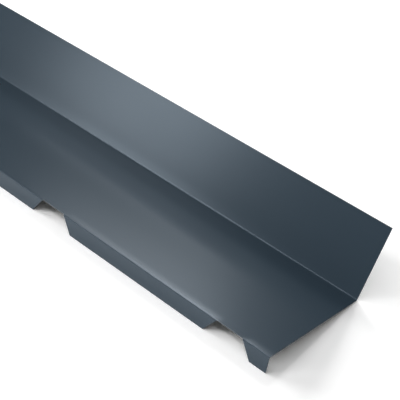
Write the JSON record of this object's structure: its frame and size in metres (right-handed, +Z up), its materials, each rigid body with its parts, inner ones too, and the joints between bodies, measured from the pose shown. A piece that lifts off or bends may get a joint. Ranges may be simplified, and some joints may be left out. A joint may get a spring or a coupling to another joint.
{
  "type": "roof ridge cap",
  "caption": "Folded ridge cap of coated steel sheet: an upright wall wing, a wide roof wing and a short lip notched to sit over the ribs of trapezoidal roof sheet.",
  "frame": {"origin": "under the middle of the outline, on the level ground that the cap rests on", "axes": "+X along the ridge, +Y towards the wall wing, the lip at -Y, +Z up"},
  "size_m": [2.1, 0.1884, 0.075],
  "materials": {
    "coated_steel": "satin anthracite polyester coat on galvanised steel sheet"
  },
  "bodies": {
    "root": {"ridge_cap_sheet": "coated_steel"}
  },
  "joints": []
}
